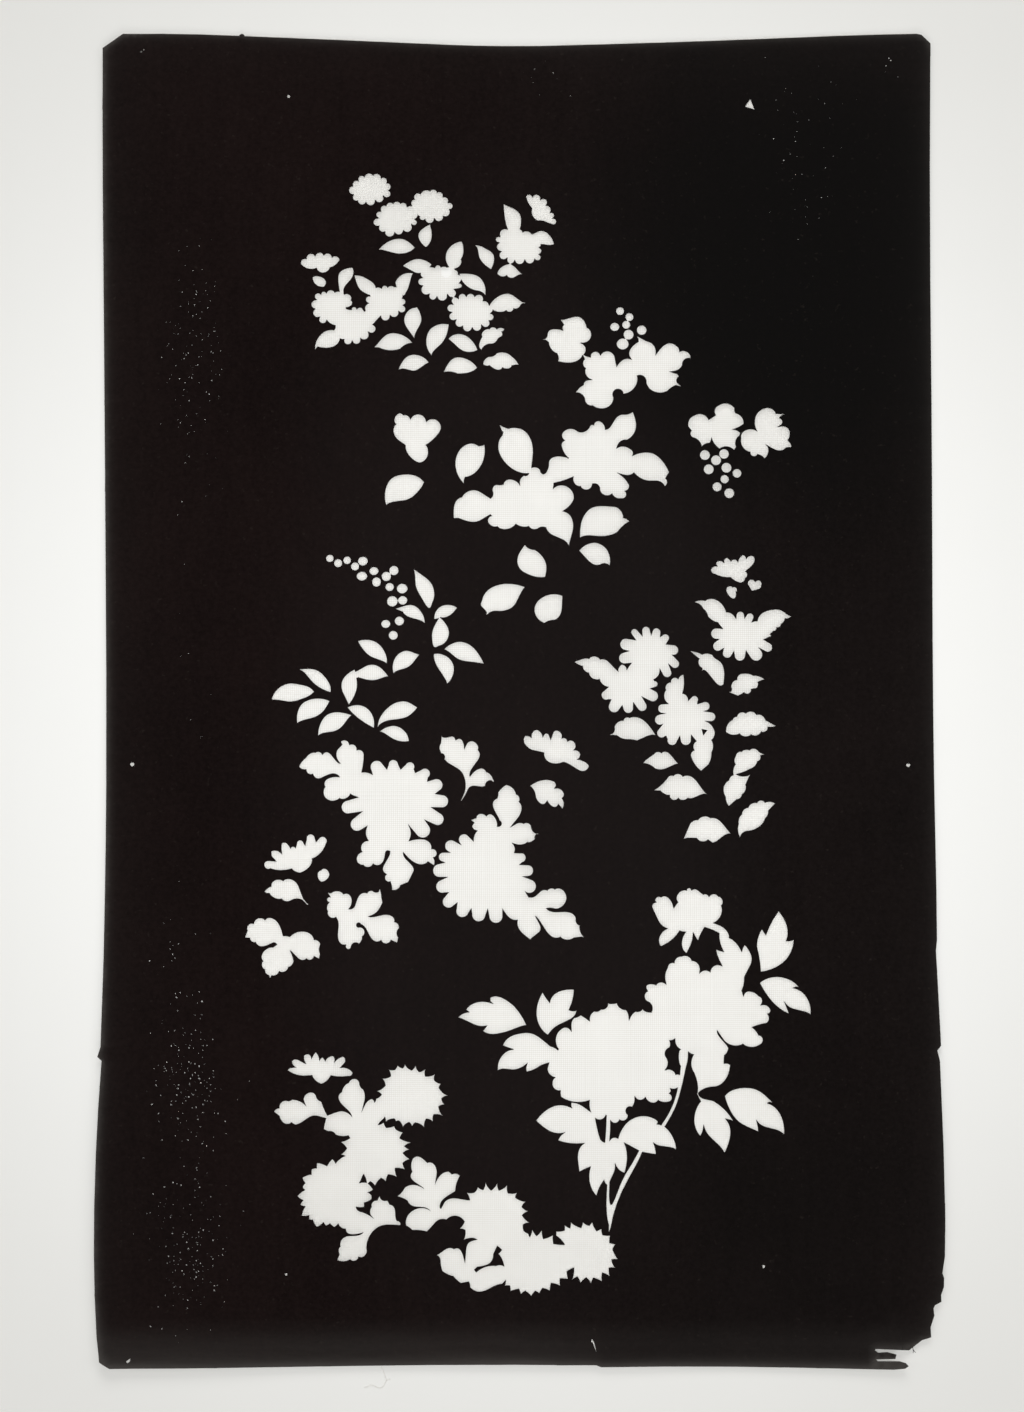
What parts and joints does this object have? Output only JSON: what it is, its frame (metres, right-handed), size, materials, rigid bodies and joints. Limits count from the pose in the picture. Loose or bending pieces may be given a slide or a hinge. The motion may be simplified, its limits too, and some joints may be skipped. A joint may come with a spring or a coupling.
{
  "type": "katagami stencil",
  "caption": "Cut dyeing stencil: a thin brown paper sheet pierced with flower, leaf and berry openings, backed all over by open silk gauze that holds the loose islands.",
  "frame": {"origin": "centre of the sheet's outline, on the underside of the silk gauze that it rests on", "axes": "+X across the sheet to its right side, +Y up the sheet along its length to its upper edge, +Z out of the paper's cut face"},
  "size_m": [0.4234, 0.67, 0.0004],
  "materials": {
    "tannin_paper": "persimmon-tannin mulberry paper, near-black brown, dry satin with a faint fibre grain",
    "silk_gauze": "open plain-weave silk gauze, undyed, lacquered to the paper"
  },
  "bodies": {
    "root": {"stencil_paper": "tannin_paper", "paper_island_1": "tannin_paper", "paper_island_2": "tannin_paper", "paper_island_3": "tannin_paper", "paper_island_4": "tannin_paper", "paper_island_5": "tannin_paper", "paper_island_6": "tannin_paper", "paper_island_7": "tannin_paper", "paper_scrap": "tannin_paper", "silk_gauze": "silk_gauze"}
  },
  "joints": []
}
